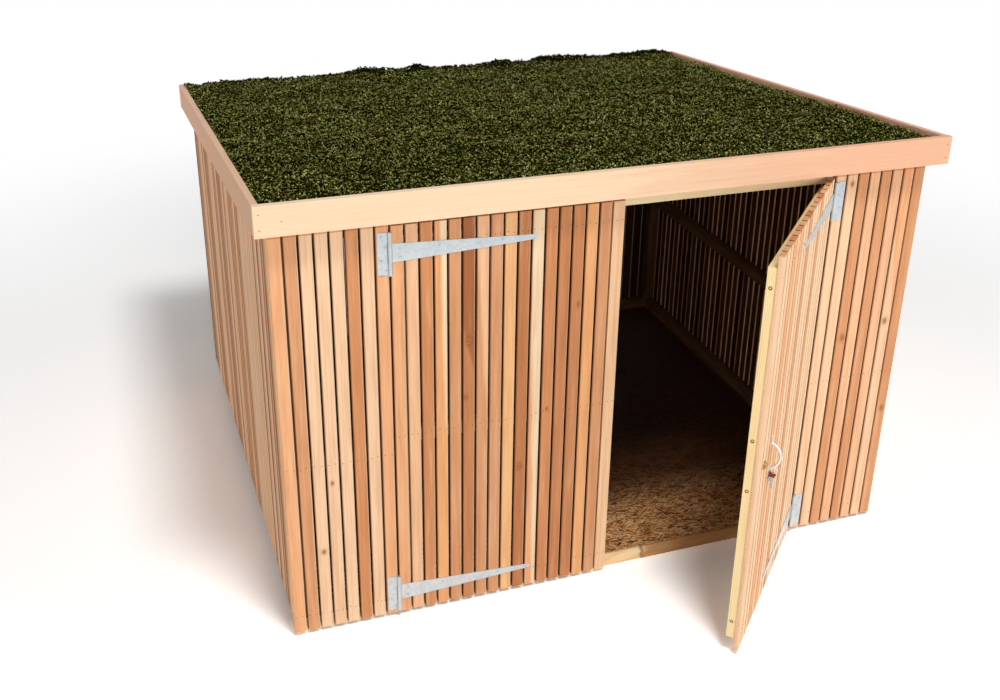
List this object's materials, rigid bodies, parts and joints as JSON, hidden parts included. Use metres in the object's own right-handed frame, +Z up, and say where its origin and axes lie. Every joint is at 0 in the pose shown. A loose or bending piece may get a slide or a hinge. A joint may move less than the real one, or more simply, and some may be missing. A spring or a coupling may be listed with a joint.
{
  "type": "bike shelter",
  "caption": "Low slatted timber bike shelter with a sloping planted roof behind fascia boards, a board floor and a pair of outward doors on tee hinges, one standing open.",
  "frame": {"origin": "on the ground at the middle of the slatted footprint, under the middle floor joist", "axes": "+X to the right along the front, +Y to the back, +Z up; the doors face -Y"},
  "size_m": [2.274, 2.5103, 1.51],
  "materials": {
    "cedar": "planed, unfinished",
    "softwood": "planed, unfinished",
    "strand_board": "pressed strands",
    "sedum": "low plants on a mat",
    "galvanised": "hot-dip zinc",
    "bright_zinc": "bright zinc plate",
    "brass": "satin"
  },
  "bodies": {
    "shelter": {"sill": "softwood", "side_bearers": "softwood", "back_bearer": "softwood", "floor_joists": "softwood", "floor_board": "strand_board", "corner_posts": "softwood", "hinge_posts": "softwood", "header": "softwood", "front_rails": "softwood", "left_rails": "softwood", "right_rails": "softwood", "back_rails": "softwood", "left_panel_slats": "cedar", "right_panel_slats": "cedar", "left_wall_slats": "cedar", "right_wall_slats": "cedar", "back_wall_slats": "cedar", "rafters": "softwood", "roof_deck": "strand_board", "sedum_mat": "sedum", "front_fascia": "cedar", "left_fascia": "cedar", "right_fascia": "cedar", "back_edge": "cedar", "left_hinge_leaves": "galvanised", "right_hinge_leaves": "galvanised", "left_hinge_pins": "galvanised", "right_hinge_pins": "galvanised"},
    "left_door": {"left_door_stiles": "softwood", "left_door_rails": "softwood", "left_door_slats": "cedar", "left_door_straps": "galvanised"},
    "right_door": {"right_door_stiles": "softwood", "right_door_rails": "softwood", "right_door_slats": "cedar", "right_door_straps": "galvanised", "pull_handle": "bright_zinc", "lock": "brass"}
  },
  "joints": [
    {"name": "left_door_swing", "type": "hinge", "parent": "shelter", "child": "left_door", "pos_m": [-0.748, -0.975, 0.7], "axis": [0, 0, -1], "range_deg": [0, 165]},
    {"name": "right_door_swing", "type": "hinge", "parent": "shelter", "child": "right_door", "pos_m": [0.748, -0.975, 0.7], "axis": [0, 0, 1], "range_deg": [-46.4, 118.6]}
  ]
}
